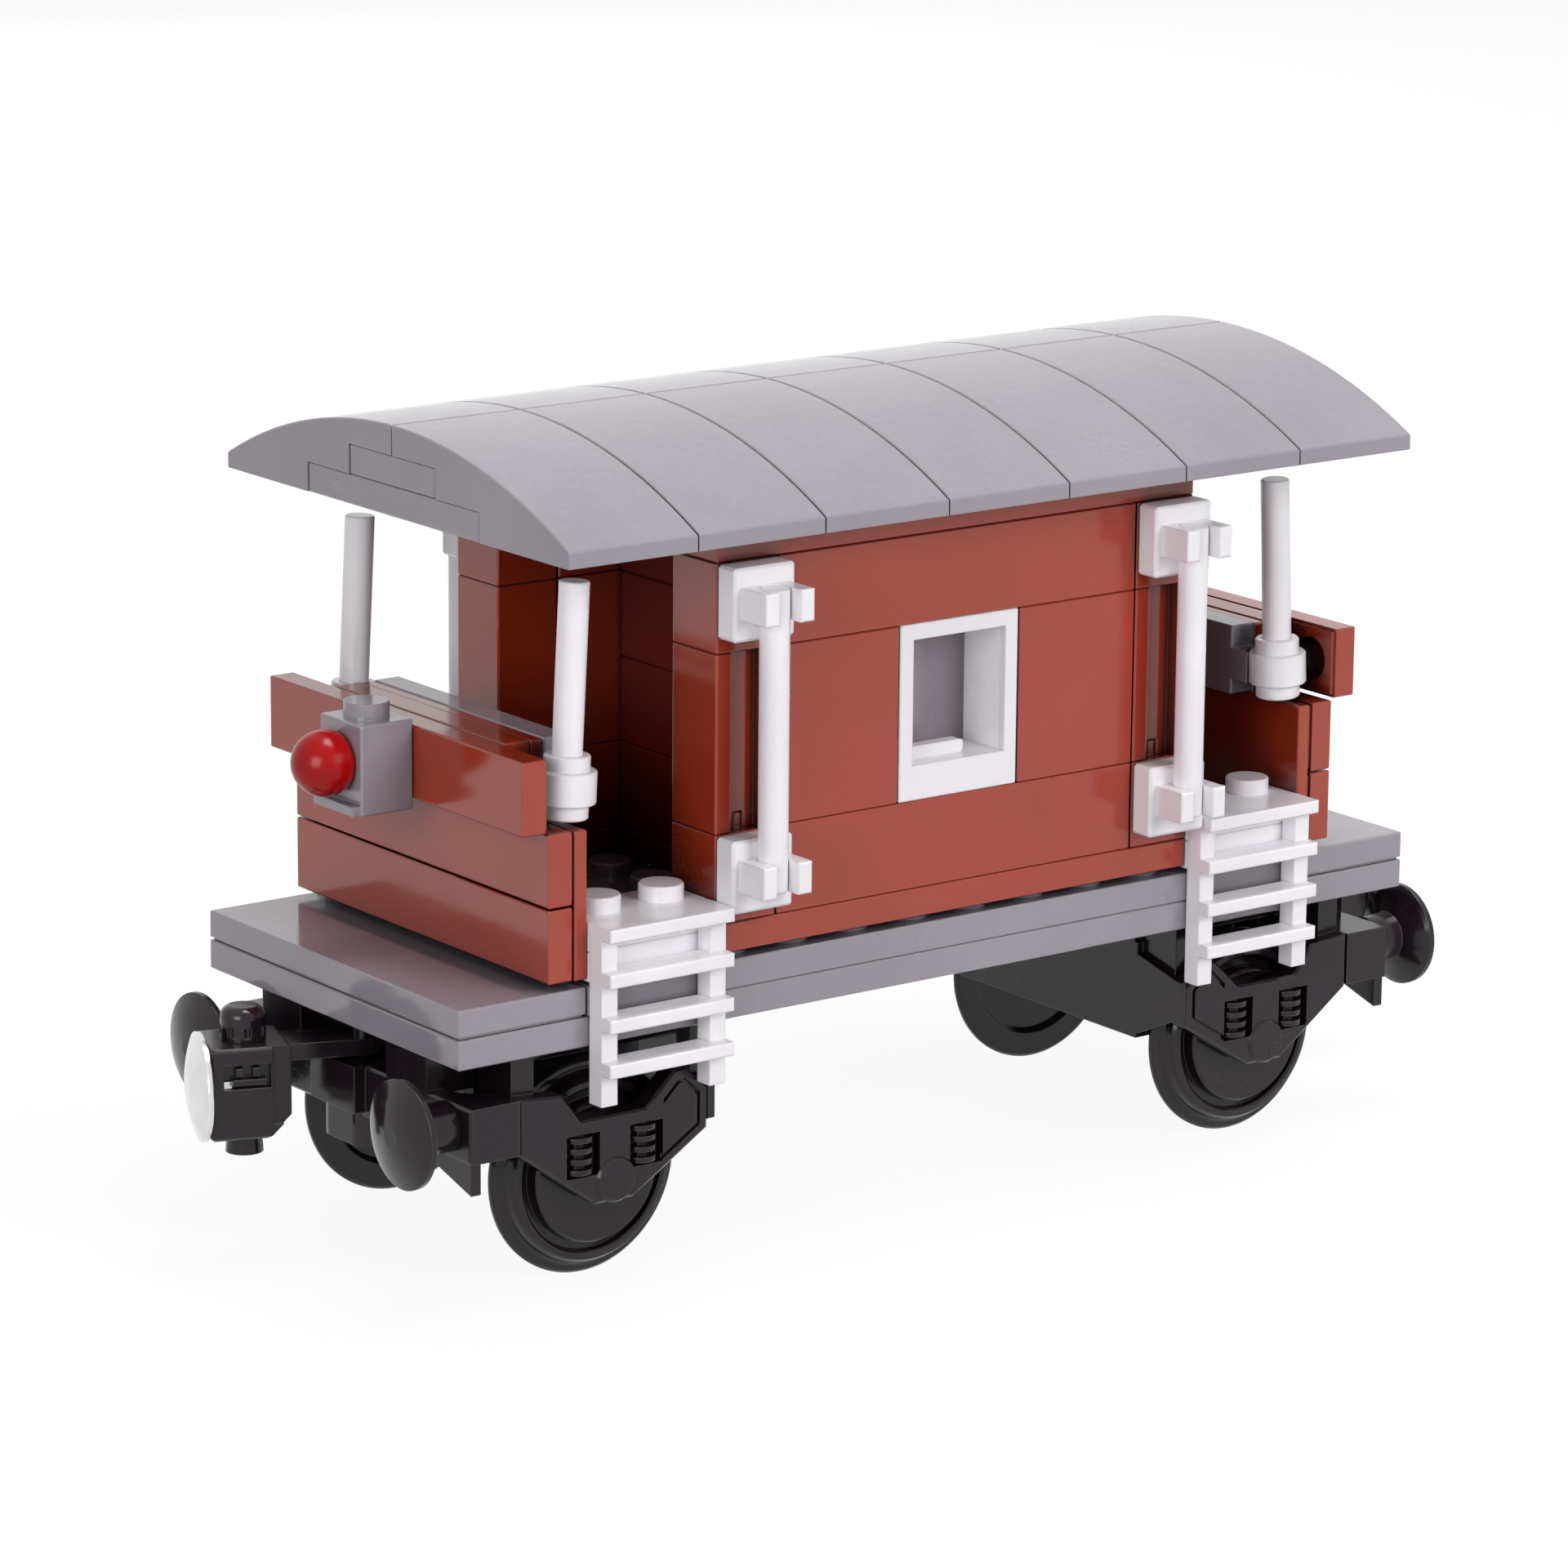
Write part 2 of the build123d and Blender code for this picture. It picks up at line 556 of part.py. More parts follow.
# The ladder hangs from the outer edge of its plate: the top step is level with the plate, three rungs
# below.
LEG_W, LEG_D = 2.0, 2.2
LEG_L = 6 * PLATE
RUNG_T = 1.45
RUNG_PITCH = 1.5 * PLATE
STEP_OUT = 3.9
ladder_top = PLATE - LAYER_GAP
ladder_w = 2 * PITCH - 3 * GAP
ladder_plate = module(2, 1, PLATE)
with BuildPart() as ladder:
    add(ladder_plate)
    with BuildSketch(Plane.XY.offset(ladder_top - LEG_L)):
        with Locations((PITCH, -LEG_D / 2 - LAYER_GAP)):
            with GridLocations(ladder_w - LEG_W, 1, 2, 1):
                Rectangle(LEG_W, LEG_D)
    extrude(amount=LEG_L)
    for level in range(4):
        inner_y = 2 * GAP if level == 0 else -0.6
        with BuildSketch(Plane.XY.offset(ladder_top - RUNG_T - level * RUNG_PITCH)):
            with Locations((PITCH, (inner_y - STEP_OUT) / 2)):
                Rectangle(ladder_w, inner_y + STEP_OUT)
        extrude(amount=RUNG_T)
    front_faces = ladder.faces().filter_by(Axis.Y).group_by(Axis.Y)[0]
    chamfer(front_faces.edges(), EDGE)
ladder_piece = put(ladder.part, LADDER_X, Y0, LADDER_Z)
with BuildPart() as ladders:
    add(both_sides(both_ends([ladder_piece])))
save(ladders, "ladders")

# -------------------------------------------------------------------------------------------------- lamp

LAMP_DEPTH = 6.4
LAMP_LIP = 1.0
LENS_Z = LAMP_Z + 5.3
LENS_R = 3.5
lamp_front = LAMP_BACK - LAMP_DEPTH
with BuildPart() as lamp_brick:
    with BuildSketch(Plane.XY.offset(LAMP_Z)):
        with Locations((LAMP_BACK - LAMP_DEPTH / 2, 0)):
            Rectangle(LAMP_DEPTH, PITCH - 2 * GAP)
    extrude(amount=BRICK)
    chamfer(lamp_brick.edges(), EDGE)
    with BuildSketch(Plane.XY.offset(LAMP_Z + EDGE)):
        with Locations((lamp_front - LAMP_LIP / 2 + EDGE, 0)):
            Rectangle(LAMP_LIP + 2 * EDGE, PITCH - 4 * EDGE)
    extrude(amount=LAMP_LIP)
    with BuildSketch(Plane.XY.offset(LAMP_Z + BRICK)):
        with Locations((LAMP_BACK - LAMP_DEPTH / 2, 0)):
            Circle(STUD_R)
    extrude(amount=STUD_H)
    with BuildSketch(Plane.YZ.offset(lamp_front)):
        with Locations((0, LENS_Z)):
            Circle(STUD_R)
    extrude(amount=-STUD_H)
    with BuildSketch(Plane.YZ.offset(LAMP_BACK)):
        with Locations((0, lamp_mid_z)):
            Circle(SOCKET_R)
    extrude(amount=-SOCKET_H, mode=Mode.SUBTRACT)
save(lamp_brick, "lamp_brick")

lens_back = lamp_front - LAYER_GAP
with BuildPart() as lamp_lens:
    with Locations((lens_back - 2.0, 0, LENS_Z)):
        Sphere(LENS_R)
    split(bisect_by=Plane.YZ.offset(lens_back), keep=Keep.BOTTOM)
    with BuildSketch(Plane.YZ.offset(lens_back)):
        with Locations((0, LENS_Z)):
            Circle(SOCKET_R)
    extrude(amount=-SOCKET_H, mode=Mode.SUBTRACT)
save(lamp_lens, "lamp_lens")

# ------------------------------------------------------------------------------------------ wheel holders

# Drawn at the lamp end about the axle's own position; each holder is one moulding: a plate with studs, an
# inner
# cross wall and two side frames with spring sets and axle caps.
HOLDER_Z = DECK_Z - 0.05
frame_out, frame_in = 11.8, 11.85  # reach of a side frame from the axle, towards the coupler and the house
wall_x = 10.4
wall_face = 12.7
wall_w = 32.8
holder_x = -AXLE_X
wall_top, wall_foot = HOLDER_Z - PLATE, DECK_Z - 14.2


def frame_outline():
    """Side-frame face about the axle: square end outwards, dropped middle, pointed foot."""
    shoulder, valley = 10.5, 7.0
    end_top, end_foot, foot = 8.0, 3.5, -2.4
    Polyline(
        (-frame_out, shoulder),
        (-6.5, shoulder - 0.4),
        (-4.2, valley),
        (4.0, valley),
        (7.6, shoulder),
        (9.2, shoulder),
        (frame_in, end_top),
        (frame_in, end_foot),
        (2.4, foot),
        (-2.4, foot),
        (-frame_out, 4.4),
        close=True,
    )


SPRING_X = 4.0
SPRING_Z = 3.2
SPRING_W, SPRING_L = 4.2, 4.6
COIL_N = 4
COIL_R = 1.75
SPRING_DEPTH = 1.3
CAP_R = 2.5
CAP_OUT = 0.4
with BuildPart() as side_frame:
    with BuildSketch(Plane.XZ):
        with BuildLine():
            frame_outline()
        make_face()
    extrude(amount=-FRAME_T)
    chamfer(side_frame.faces().sort_by(Axis.Y)[0].edges(), 2 * EDGE)
    with BuildSketch(Plane.XZ) as rim_groove:
        with BuildLine():
            frame_outline()
        make_face()
        offset(amount=-1.0, kind=Kind.INTERSECTION)
        offset(amount=-0.5, kind=Kind.INTERSECTION, mode=Mode.SUBTRACT)
        with Locations((frame_in, 0)):
            Rectangle(2 * (frame_in - SPRING_X - SPRING_W / 2), 4 * PITCH, mode=Mode.INTERSECT)
    extrude(amount=-0.5, mode=Mode.SUBTRACT)
    with BuildSketch(Plane.XZ):
        with Locations((-SPRING_X, SPRING_Z), (SPRING_X, SPRING_Z)):
            Rectangle(SPRING_W, SPRING_L)
    extrude(amount=-SPRING_DEPTH, mode=Mode.SUBTRACT)
    with BuildSketch(Plane.XZ):
        Circle(CAP_R)
    extrude(amount=CAP_OUT)
    chamfer(side_frame.faces().sort_by(Axis.Y)[0].edges(), 2 * EDGE)
    for spring_x in (-SPRING_X, SPRING_X):
        with Locations((spring_x, SPRING_DEPTH, SPRING_Z)):
            Cylinder(COIL_R / 2, SPRING_L)
        coil_pitch = SPRING_L / COIL_N
        for n in range(COIL_N):
            with Locations((spring_x, SPRING_DEPTH, SPRING_Z + (n - (COIL_N - 1) / 2) * coil_pitch)):
                Cylinder(COIL_R, coil_pitch / 2)
    with BuildSketch(Plane.XZ.offset(-FRAME_T)):
        Circle(AXLE_TIP_R + RUNNING_GAP)
    extrude(amount=FRAME_T - 0.6, mode=Mode.SUBTRACT)
frame_piece = put(side_frame.part, holder_x, -FRAME_Y, WHEEL_R)
frame_pieces = both_sides([frame_piece])

ARM_L = 2.8
ARM_Y = (15.0, FRAME_Y - FRAME_T + 0.6)
with BuildPart() as wheel_holder:
    with BuildSketch(Plane.XY.offset(HOLDER_Z - PLATE)):
        with Locations((holder_x + (wall_face - frame_out) / 2, 0)):
            Rectangle(wall_face + frame_out, 4 * PITCH - 2 * GAP)
    extrude(amount=PLATE)
    with BuildSketch(Plane.XY.offset(HOLDER_Z)):
        with Locations((-5.5 * PITCH, 0)):
            with GridLocations(PITCH, PITCH, 3, 4):
                Circle(STUD_R)
    extrude(amount=STUD_H)
    with BuildSketch(Plane.XY.offset(wall_foot)):
        with Locations((holder_x + (wall_x + wall_face) / 2, 0)):
            Rectangle(wall_face - wall_x, wall_w)
    extrude(amount=wall_top - wall_foot + 0.1)
    with BuildSketch(Plane.YZ.offset(holder_x + frame_in)):
        with BuildLine():
            Polyline(
                (-wall_w / 2 + 1, DECK_Z - 4.2),
                (-FRAME_Y, DECK_Z - 6.2),
                (-FRAME_Y, DECK_Z - 10.4),
                (-wall_w / 2 + 1, wall_foot),
                close=True,
            )
        make_face()
        mirror(about=Plane.YZ)
    extrude(amount=wall_face - frame_in)
    for side in (-1, 1):
        for arm_x in (-frame_out + ARM_L / 2, frame_in - ARM_L / 2):
            with BuildSketch(Plane.XY.offset(DECK_Z - 6.4)):
                with Locations((holder_x + arm_x, side * sum(ARM_Y) / 2)):
                    Rectangle(ARM_L, ARM_Y[1] - ARM_Y[0])
            extrude(amount=HOLDER_Z - DECK_Z + 6.4)
    add(frame_pieces)
with BuildPart() as wheel_holders:
    add(both_ends([wheel_holder.part]))
save(wheel_holders, "wheel_holders")

# ------------------------------------------------------------------------------------------- buffer beams

BEAM_X = X0 + 1.6  # outer face
BEAM_TOP, BEAM_FOOT = DECK_Z - 4.4, DECK_Z - 10.3
BEAM_T = 2.2
RETURN_X = X0 + 7.7
RETURN_W = 4.3
PLOW_FOOT = DECK_Z - 13.7
BUFFER_Y = 19.6
BUFFER_Z = DECK_Z - 7.0
BUFFER_SHAFT_R = 2.7
BUFFER_HEAD_R = 5.8
PIVOT_R = 1.2
beam_pivot_x = -COUPLER_PIVOT_X
half_w = WIDTH / 2 - 2 * GAP
with BuildPart() as buffer_beam:
    with BuildSketch(Plane.XY.offset(BEAM_FOOT)) as beam_plan:
        with BuildLine():
            Polyline(
                (BEAM_X, -half_w),
                (RETURN_X, -half_w),
                (RETURN_X, -half_w + RETURN_W),
                (BEAM_X + BEAM_T, -half_w + RETURN_W),
                (BEAM_X + BEAM_T, half_w - RETURN_W),
                (RETURN_X, half_w - RETURN_W),
                (RETURN_X, half_w),
                (BEAM_X, half_w),
                close=True,
            )
        make_face()
        inner_corners = beam_plan.vertices().filter_by(
            lambda corner: abs(corner.X - BEAM_X - BEAM_T) < 0.01
        )
        fillet(inner_corners, 3.6)
    extrude(amount=BEAM_TOP - BEAM_FOOT)
    chamfer(buffer_beam.faces().filter_by(Axis.X).sort_by(Axis.X)[0].edges(), 2 * EDGE)
    plow_y = half_w - 0.4
    with BuildSketch(Plane.YZ.offset(BEAM_X + 2 * EDGE)):
        with BuildLine():
            Polyline(
                (-plow_y, BEAM_TOP - 1),
                (-plow_y, PLOW_FOOT),
                (-plow_y + 7.6, PLOW_FOOT + 2.2),
                (-plow_y + 7.6, BEAM_TOP - 1),
                close=True,
            )
        make_face()
        mirror(about=Plane.YZ)
    extrude(amount=1.2)
    with BuildSketch(Plane.XY.offset(BEAM_FOOT + 0.9)):
        with Locations(((X0 + 0.2 + RETURN_X) / 2, 0)):
            Rectangle(RETURN_X - X0 - 0.2, 8.4)
    extrude(amount=BEAM_TOP - BEAM_FOOT - 0.9)
    with BuildSketch(Plane.XY.offset(PLOW_FOOT + 0.3)):
        with Locations(((X0 + 1.2 + RETURN_X) / 2, 0)):
            RectangleRounded(RETURN_X - X0 - 1.2, 8.4, 2.0)
    extrude(amount=BEAM_FOOT + 0.9 - PLOW_FOOT - 0.3)
    with BuildSketch(Plane.XY.offset(BEAM_TOP)):
        with Locations((beam_pivot_x, 0)):
            Circle(PIVOT_R)
    extrude(amount=DECK_Z - BEAM_TOP - 0.1)
    lug_w = PITCH - 4 * GAP
    with BuildSketch(Plane.XY.offset(BEAM_TOP - 0.5)):
        for side in (-1, 1):
            with Locations(((BEAM_X + RETURN_X) / 2, side * 1.5 * PITCH)):
                Rectangle(RETURN_X - BEAM_X, lug_w)
    extrude(amount=HOLDER_Z - BEAM_TOP + 0.5)
    with BuildSketch(Plane.XY.offset(HOLDER_Z)):
        with Locations((X0 + PITCH / 2, -1.5 * PITCH), (X0 + PITCH / 2, 1.5 * PITCH)):
            Circle(STUD_R)
    extrude(amount=STUD_H)
    with BuildSketch(Plane.YZ.offset(BEAM_X)):
        with Locations((-BUFFER_Y, BUFFER_Z), (BUFFER_Y, BUFFER_Z)):
            Circle(BAR_R + 0.03)
    extrude(amount=3.0, mode=Mode.SUBTRACT)
with BuildPart() as buffer_beams:
    add(both_ends([buffer_beam.part]))
save(buffer_beams, "buffer_beams")

# A buffer is turned about its own axis: peg, shaft and a domed head. The profile is (distance out, radius).
HEAD_X = 4.8  # back of the head, in front of the beam
HEAD_RIM = 0.9
HEAD_DOME = 1.3
PEG_IN = 2.8
DOME_FLAT_R = 1.2  # small flat in the middle of a dome


def dome_arc(x, radius, rise):
    """Arc of a shallow dome about the X axis, from its rim to the edge of its small flat."""
    curve_r = (radius**2 + rise**2) / (2 * rise)
    middle_x = x + rise - curve_r + (curve_r**2 - (radius / 2) ** 2) ** 0.5
    ThreePointArc((x, radius), (middle_x, radius / 2), (x + rise, DOME_FLAT_R))


dome_tip = HEAD_X + HEAD_RIM + HEAD_DOME
with BuildPart() as buffer:
    with BuildSketch(Plane.XY):
        with BuildLine():
            Polyline(
                (-PEG_IN, 0),
                (-PEG_IN, BAR_R),
                (LAYER_GAP, BAR_R),
                (LAYER_GAP, BUFFER_SHAFT_R),
                (HEAD_X - 1.2, BUFFER_SHAFT_R),
                (HEAD_X, BUFFER_HEAD_R - 0.5),
                (HEAD_X + 0.3, BUFFER_HEAD_R),
                (HEAD_X + HEAD_RIM, BUFFER_HEAD_R),
            )
            dome_arc(HEAD_X + HEAD_RIM, BUFFER_HEAD_R, HEAD_DOME)
            Polyline((dome_tip, DOME_FLAT_R), (dome_tip, 0), (-PEG_IN, 0))
        make_face()
    revolve(axis=Axis.X)
buffer_piece = buffer.part.mirror(Plane.YZ).moved(Location((BEAM_X, -BUFFER_Y, BUFFER_Z)))
with BuildPart() as buffers:
    add(both_sides(both_ends([buffer_piece])))
save(buffers, "buffers")

# --------------------------------------------------------------------------------------------- wheelsets

# Wheel profile: (radius, depth behind the hub's outer face).
HUB_R = 7.7
GROOVE_R = 8.8
TREAD_R = 10.1
HUB_FACE_Y = 20.7
with BuildPart() as wheel:
    with BuildSketch(Plane.XY):
        with BuildLine():
            Polyline(
                (AXLE_R + 0.01, 0.3),
                (AXLE_R + 0.9, 0.3),
                (AXLE_R + 1.2, 0),
                (HUB_R - 0.3, 0),
                (HUB_R, 0.3),
                (HUB_R + 0.1, 1.7),
                (GROOVE_R - 0.1, 1.7),
                (GROOVE_R, 1.0),
                (GROOVE_R + 0.3, 0.75),
                (TREAD_R - 0.4, 0.9),
                (TREAD_R - 0.1, 1.3),
                (TREAD_R + 0.2, 2.2),
            )
            ThreePointArc((TREAD_R + 0.2, 2.2), (TREAD_R + 0.6, 2.5), (WHEEL_R - 0.3, 2.6))
            Polyline(
                (WHEEL_R - 0.3, 2.6),
                (WHEEL_R, 2.9),
                (WHEEL_R, 3.3),
                (WHEEL_R - 0.3, 3.6),
                (GROOVE_R, 3.6),
                (GROOVE_R - 0.6, 2.9),
                (2 * AXLE_R, 2.9),
                (2 * AXLE_R, 4.8),
                (AXLE_R + 0.01, 4.8),
                (AXLE_R + 0.01, 0.3),
            )
        make_face()
    revolve(axis=Axis.Y)
wheel_piece = put(wheel.part, -AXLE_X, -HUB_FACE_Y, WHEEL_R)
lamp_end_pair = both_sides([wheel_piece])
plain_end_pair = [piece.mirror(Plane.YZ) for piece in lamp_end_pair]
with BuildPart() as front_wheels:
    add(lamp_end_pair)
save(front_wheels, "front_wheels")
with BuildPart() as rear_wheels:
    add(plain_end_pair)
save(rear_wheels, "rear_wheels")

# The steel axle has reduced tips that run in the side frames.
AXLE_SHOULDER = HUB_FACE_Y + 0.3
TIP_END = FRAME_Y - 0.8
with BuildPart() as axle:
    Cylinder(AXLE_R, 2 * AXLE_SHOULDER, rotation=(90, 0, 0))
    Cylinder(AXLE_TIP_R, 2 * TIP_END, rotation=(90, 0, 0))
    chamfer(axle.edges().filter_by(GeomType.CIRCLE), EDGE)
front_axle_piece = put(axle.part, -AXLE_X, 0, WHEEL_R)
rear_axle_piece = put(axle.part, AXLE_X, 0, WHEEL_R)
with BuildPart() as front_axle:
    add(front_axle_piece)
save(front_axle, "front_axle")
with BuildPart() as rear_axle:
    add(rear_axle_piece)
save(rear_axle, "rear_axle")

# ---------------------------------------------------------------------------------------------- couplers

# Drawn with the swivel axis as the Z axis and the head towards -X, at height zero on the underside of the
# deck.
COUPLER_W = 8.2
HEAD_L = 8.6
HEAD_TOP, HEAD_FOOT = -1.8, -11.7
REAR_SLANT, FRONT_SLANT = 2.4, 1.0
ARM_TOP, ARM_FOOT = -2.1, -3.9
head_back = -COUPLER_REACH + HEAD_L / 2
head_front = -COUPLER_REACH - HEAD_L / 2
head_mid_z = (HEAD_TOP + HEAD_FOOT) / 2
PIN_R = 1.5
KNOB_R, KNOB_H = 2.4, 3.6
STUB_R, STUB_H = 2.0, 2.3
MAGNET_R, MAGNET_L = 3.4, 2.4
FACE_R, FACE_T, FACE_DOME = 5.8, 0.5, 1.2
with BuildPart() as coupler_head:
    with BuildSketch(Plane.XY.offset(HEAD_FOOT)):
        with Locations((-COUPLER_REACH, 0)):
            Rectangle(HEAD_L, COUPLER_W)
    extrude(amount=HEAD_TOP - HEAD_FOOT)
    with BuildSketch(Plane.XZ.offset(COUPLER_W / 2)):
        with BuildLine():
            Polyline(
                (head_back, HEAD_FOOT),
                (head_back, HEAD_FOOT + REAR_SLANT),
                (head_back - REAR_SLANT, HEAD_FOOT),
                close=True,
            )
            Polyline(
                (head_front, HEAD_FOOT),
                (head_front, HEAD_FOOT + FRONT_SLANT),
                (head_front + FRONT_SLANT, HEAD_FOOT),
                close=True,
            )
        make_face()
    extrude(amount=-COUPLER_W, mode=Mode.SUBTRACT)
    fillet(coupler_head.edges().filter_by(Axis.Z), 0.5)
    chamfer(coupler_head.faces().filter_by(Axis.Z).edges(), 2 * EDGE)
    with BuildSketch(Plane.XZ.offset(COUPLER_W / 2)):
        with Locations((head_back - 1.0, head_mid_z + 1.5)):
            Rectangle(2.0, HEAD_TOP - HEAD_FOOT)
    extrude(amount=-0.4, mode=Mode.SUBTRACT)
    with BuildSketch(Plane.XZ.offset(COUPLER_W / 2)):
        with Locations((-COUPLER_REACH - 0.4, head_mid_z + 1.9)):
            Rectangle(5.0, 2.6)
    extrude(amount=-0.9, mode=Mode.SUBTRACT)
    with BuildSketch(Plane.XZ.offset(COUPLER_W / 2)):
        with Locations((-COUPLER_REACH - 0.2, head_mid_z + 1.3)):
            Rectangle(3.6, 0.6)
        with Locations((-COUPLER_REACH - 1.2, head_mid_z + 2.4), (-COUPLER_REACH + 0.6, head_mid_z + 2.4)):
            Rectangle(0.8, 0.8)
    extrude(amount=-1.0)
    with BuildSketch(Plane.XY.offset(ARM_FOOT)):
        with Locations((head_back / 2, 0)):
            Rectangle(-head_back + 1.0, 5.2)
        Circle(2.6)
        Circle(PIVOT_R + RUNNING_GAP, mode=Mode.SUBTRACT)
    extrude(amount=ARM_TOP - ARM_FOOT)
    with BuildSketch(Plane.XY.offset(HEAD_FOOT)):
        with Locations((-COUPLER_REACH, 0)):
            Circle(PIN_R + 0.03)
    extrude(amount=HEAD_TOP - HEAD_FOOT, mode=Mode.SUBTRACT)
    with BuildSketch(Plane.YZ.offset(head_front)):
        with Locations((0, head_mid_z)):
            Circle(MAGNET_R + 0.04)
    extrude(amount=MAGNET_L + 0.04, mode=Mode.SUBTRACT)

face_tip = FACE_T + FACE_DOME + LAYER_GAP

# The magnet has a domed polished face that stands in front of the head. Profile: (distance in front,
# radius).
with BuildPart() as coupler_magnet:
    with BuildSketch(Plane.XY):
        with BuildLine():
            Polyline(
                (face_tip, DOME_FLAT_R),
                (face_tip, 0),
                (-MAGNET_L, 0),
                (-MAGNET_L, MAGNET_R),
                (LAYER_GAP, MAGNET_R),
                (LAYER_GAP, FACE_R),
                (FACE_T + LAYER_GAP, FACE_R),
            )
            dome_arc(FACE_T + LAYER_GAP, FACE_R, FACE_DOME)
        make_face()
    revolve(axis=Axis.X)
magnet_local = coupler_magnet.part.mirror(Plane.YZ).moved(Location((head_front, 0, head_mid_z)))

with BuildPart() as coupler_pin:
    with BuildSketch(Plane.XY.offset(HEAD_FOOT - STUB_H)):
        Circle(STUB_R)
    extrude(amount=STUB_H - LAYER_GAP, taper=4)
    with BuildSketch(Plane.XY.offset(HEAD_FOOT - 2 * LAYER_GAP)):
        Circle(PIN_R)
    extrude(amount=HEAD_TOP - HEAD_FOOT + 4 * LAYER_GAP)
    with BuildSketch(Plane.XY.offset(HEAD_TOP + LAYER_GAP)):
        Circle(KNOB_R)
    extrude(amount=KNOB_H)
    fillet(coupler_pin.faces().sort_by(Axis.Z)[-1].edges(), KNOB_R / 2)
    with BuildSketch(Plane.XY.offset(HEAD_TOP + 0.6)):
        with PolarLocations(KNOB_R, 8):
            Circle(0.35)
    extrude(amount=1.0, mode=Mode.SUBTRACT)
pin_local = put(coupler_pin.part, -COUPLER_REACH, 0, 0)


def at_front(piece):
    """The coupler piece at the lamp end, resting turned towards the far side."""
    return piece.moved(Location((-COUPLER_PIVOT_X, 0, DECK_Z), (0, 0, -COUPLER_SWING)))


def at_rear(piece):
    """The coupler piece at the plain end, resting straight."""
    return piece.moved(Location((-COUPLER_PIVOT_X, 0, DECK_Z))).mirror(Plane.YZ)


for label, piece in (("head", coupler_head.part), ("magnet", magnet_local), ("pin", pin_local)):
    front_piece = at_front(piece)
    rear_piece = at_rear(piece)
    with BuildPart() as front_coupler:
        add(front_piece)
    save(front_coupler, f"front_coupler_{label}")
    with BuildPart() as rear_coupler:
        add(rear_piece)
    save(rear_coupler, f"rear_coupler_{label}")
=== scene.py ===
"""Looks and studio for the toy caboose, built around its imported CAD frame. Metres; +Z up."""
import json

import bpy
from mathutils import Matrix, Vector


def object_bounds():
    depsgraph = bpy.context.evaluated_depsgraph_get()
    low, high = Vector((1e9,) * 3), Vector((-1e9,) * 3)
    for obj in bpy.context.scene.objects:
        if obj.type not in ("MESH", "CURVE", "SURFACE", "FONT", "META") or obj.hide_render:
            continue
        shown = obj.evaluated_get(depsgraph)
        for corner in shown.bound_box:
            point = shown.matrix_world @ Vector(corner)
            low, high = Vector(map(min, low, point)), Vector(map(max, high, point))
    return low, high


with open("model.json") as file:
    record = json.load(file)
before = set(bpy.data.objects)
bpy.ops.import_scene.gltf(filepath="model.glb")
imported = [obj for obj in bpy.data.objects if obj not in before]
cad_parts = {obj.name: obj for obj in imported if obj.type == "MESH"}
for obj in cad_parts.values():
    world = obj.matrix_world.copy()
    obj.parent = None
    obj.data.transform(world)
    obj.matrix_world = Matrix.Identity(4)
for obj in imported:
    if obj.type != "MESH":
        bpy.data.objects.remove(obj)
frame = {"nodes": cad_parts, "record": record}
cad_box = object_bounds()
NODES = frame["nodes"]

MM = 0.001

# ------------------------------------------------------------------------------- node helpers


def add(tree, kind, settings=None, inputs=None):
    """A new node with its settings; an input may be a plain value or another node's output."""
    made = tree.nodes.new(kind)
    for key, value in (settings or {}).items():
        setattr(made, key, value)
    for key, value in (inputs or {}).items():
        if isinstance(value, bpy.types.NodeSocket):
            tree.links.new(value, made.inputs[key])
        else:
            made.inputs[key].default_value = value
    return made


def new_material(name):
    """An empty node material: (material, tree, output node, object coordinates)."""
    material = bpy.data.materials.new(name)
    material.use_nodes = True
    tree = material.node_tree
    tree.nodes.clear()
    output = add(tree, "ShaderNodeOutputMaterial")
    coords = add(tree, "ShaderNodeTexCoord").outputs["Object"]
    return material, tree, output, coords


def noise(tree, coords, scale, detail=2.0, rough=0.5, distortion=0.0):
    """Noise value in 0..1 over the given coordinates."""
    values = {
        "Vector": coords,
        "Scale": scale,
        "Detail": detail,
        "Roughness": rough,
        "Distortion": distortion,
    }
    return add(tree, "ShaderNodeTexNoise", inputs=values).outputs["Fac"]


def remap(tree, value, low, high, out_low=0.0, out_high=1.0):
    """The value carried from low..high to out_low..out_high, clamped."""
    values = {
        "Value": value,
        "From Min": low,
        "From Max": high,
        "To Min": out_low,
        "To Max": out_high,
    }
    return add(tree, "ShaderNodeMapRange", inputs=values).outputs["Result"]


def math_node(tree, operation, a, b=0.0):
    """One arithmetic step."""
    step = add(tree, "ShaderNodeMath", {"operation": operation}, {0: a, 1: b})
    return step.outputs[0]


def mix_color(tree, factor, a, b):
    """Colour a turning into colour b as factor goes from 0 to 1."""
    blend = add(tree, "ShaderNodeMix", {"data_type": "RGBA"}, {"Factor": factor, 6: a, 7: b})
    return blend.outputs[2]


def bump(tree, height, strength, distance, normal=None):
    """A bumped normal; distance is in metres."""
    values = {"Height": height, "Strength": strength, "Distance": distance}
    if normal is not None:
        values["Normal"] = normal
    return add(tree, "ShaderNodeBump", inputs=values).outputs["Normal"]


def stretched(tree, coords, stretch):
    """The coordinates scaled by a factor on each axis."""
    values = {"Vector": coords, "Scale": stretch}
    return add(tree, "ShaderNodeMapping", inputs=values).outputs["Vector"]


def mix_shaders(tree, factor, a, b):
    """Shader node a turning into shader node b as factor goes from 0 to 1."""
    values = {0: factor, 1: a.outputs[0], 2: b.outputs[0]}
    return add(tree, "ShaderNodeMixShader", inputs=values)


def shade(color, factor):
    """The colour made lighter or darker by a factor."""
    return tuple(min(1.0, channel * factor) for channel in color[:3]) + (1.0,)


